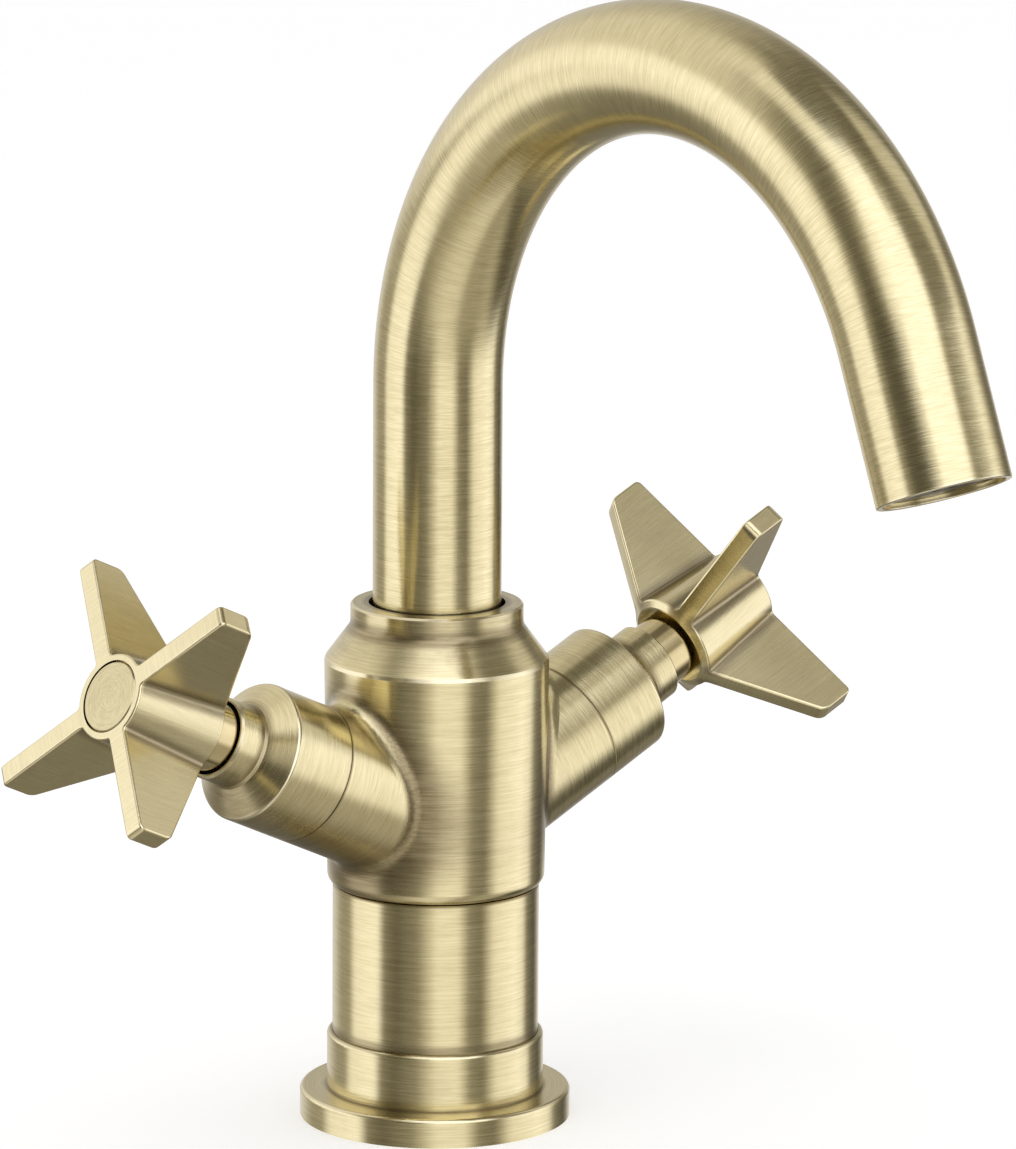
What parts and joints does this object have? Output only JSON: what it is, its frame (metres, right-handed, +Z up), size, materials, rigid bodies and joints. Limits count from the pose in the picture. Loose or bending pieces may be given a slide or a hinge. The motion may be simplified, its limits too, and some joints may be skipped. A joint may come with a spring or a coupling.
{
  "type": "cross handle tap",
  "caption": "Deck-mounted mixer tap with a round column, a swivelling gooseneck spout and two tilted arms that carry finned cross handles",
  "frame": {"origin": "centre of the flange's underside, on the deck surface, on the column's centre line", "axes": "+Z up along the column, -Y the way the spout points in the picture, +X towards the right-hand handle seen from the front"},
  "size_m": [0.178, 0.1803, 0.2263],
  "materials": {
    "antique_brass": "brushed antique brass, fine lines round the turned pieces and across the fins",
    "polished_brass": "polished antique brass",
    "plain_brass": "machined brass",
    "rubber": "matt black",
    "white_plastic": "white low-friction plastic",
    "brass_plastic": "dark plastic with a perforated face",
    "stainless_steel": "plain stainless steel",
    "ceramic": "lapped white ceramic"
  },
  "bodies": {
    "body": {"base_flange": "antique_brass", "base_seal": "rubber", "column_sleeve": "antique_brass", "body_casting": "antique_brass", "glide_ring": "white_plastic", "seat_seal_left": "rubber", "fixed_disc_left": "ceramic", "valve_body_left": "plain_brass", "bonnet_left": "antique_brass", "seat_seal_right": "rubber", "fixed_disc_right": "ceramic", "valve_body_right": "plain_brass", "bonnet_right": "antique_brass"},
    "spout": {"spout_tube": "antique_brass", "spout_foot": "plain_brass", "spout_ring_lower": "rubber", "spout_ring_upper": "rubber", "spout_snap_ring": "stainless_steel", "nozzle_ring": "antique_brass", "aerator_insert": "brass_plastic", "aerator_seal": "rubber"},
    "handle_left": {"handle_stem_left": "polished_brass", "moving_disc_left": "ceramic", "spindle_left": "plain_brass", "spindle_ring_left": "rubber", "spindle_clip_left": "stainless_steel", "handle_cross_left": "antique_brass", "handle_screw_left": "stainless_steel", "handle_cap_left": "antique_brass"},
    "handle_right": {"handle_stem_right": "polished_brass", "moving_disc_right": "ceramic", "spindle_right": "plain_brass", "spindle_ring_right": "rubber", "spindle_clip_right": "stainless_steel", "handle_cross_right": "antique_brass", "handle_screw_right": "stainless_steel", "handle_cap_right": "antique_brass"}
  },
  "joints": [
    {"name": "spout_swivel", "type": "hinge", "parent": "body", "child": "spout", "pos_m": [0, 0, 0], "axis": [0, 0, 1], "continuous": true},
    {"name": "handle_left_turn", "type": "hinge", "parent": "body", "child": "handle_left", "pos_m": [0, 0, 0.05786], "axis": [-0.907, 0, 0.421], "range_deg": [0, 90]},
    {"name": "handle_right_turn", "type": "hinge", "parent": "body", "child": "handle_right", "pos_m": [0, 0, 0.05786], "axis": [-0.907, 0, -0.421], "range_deg": [0, 90]}
  ]
}
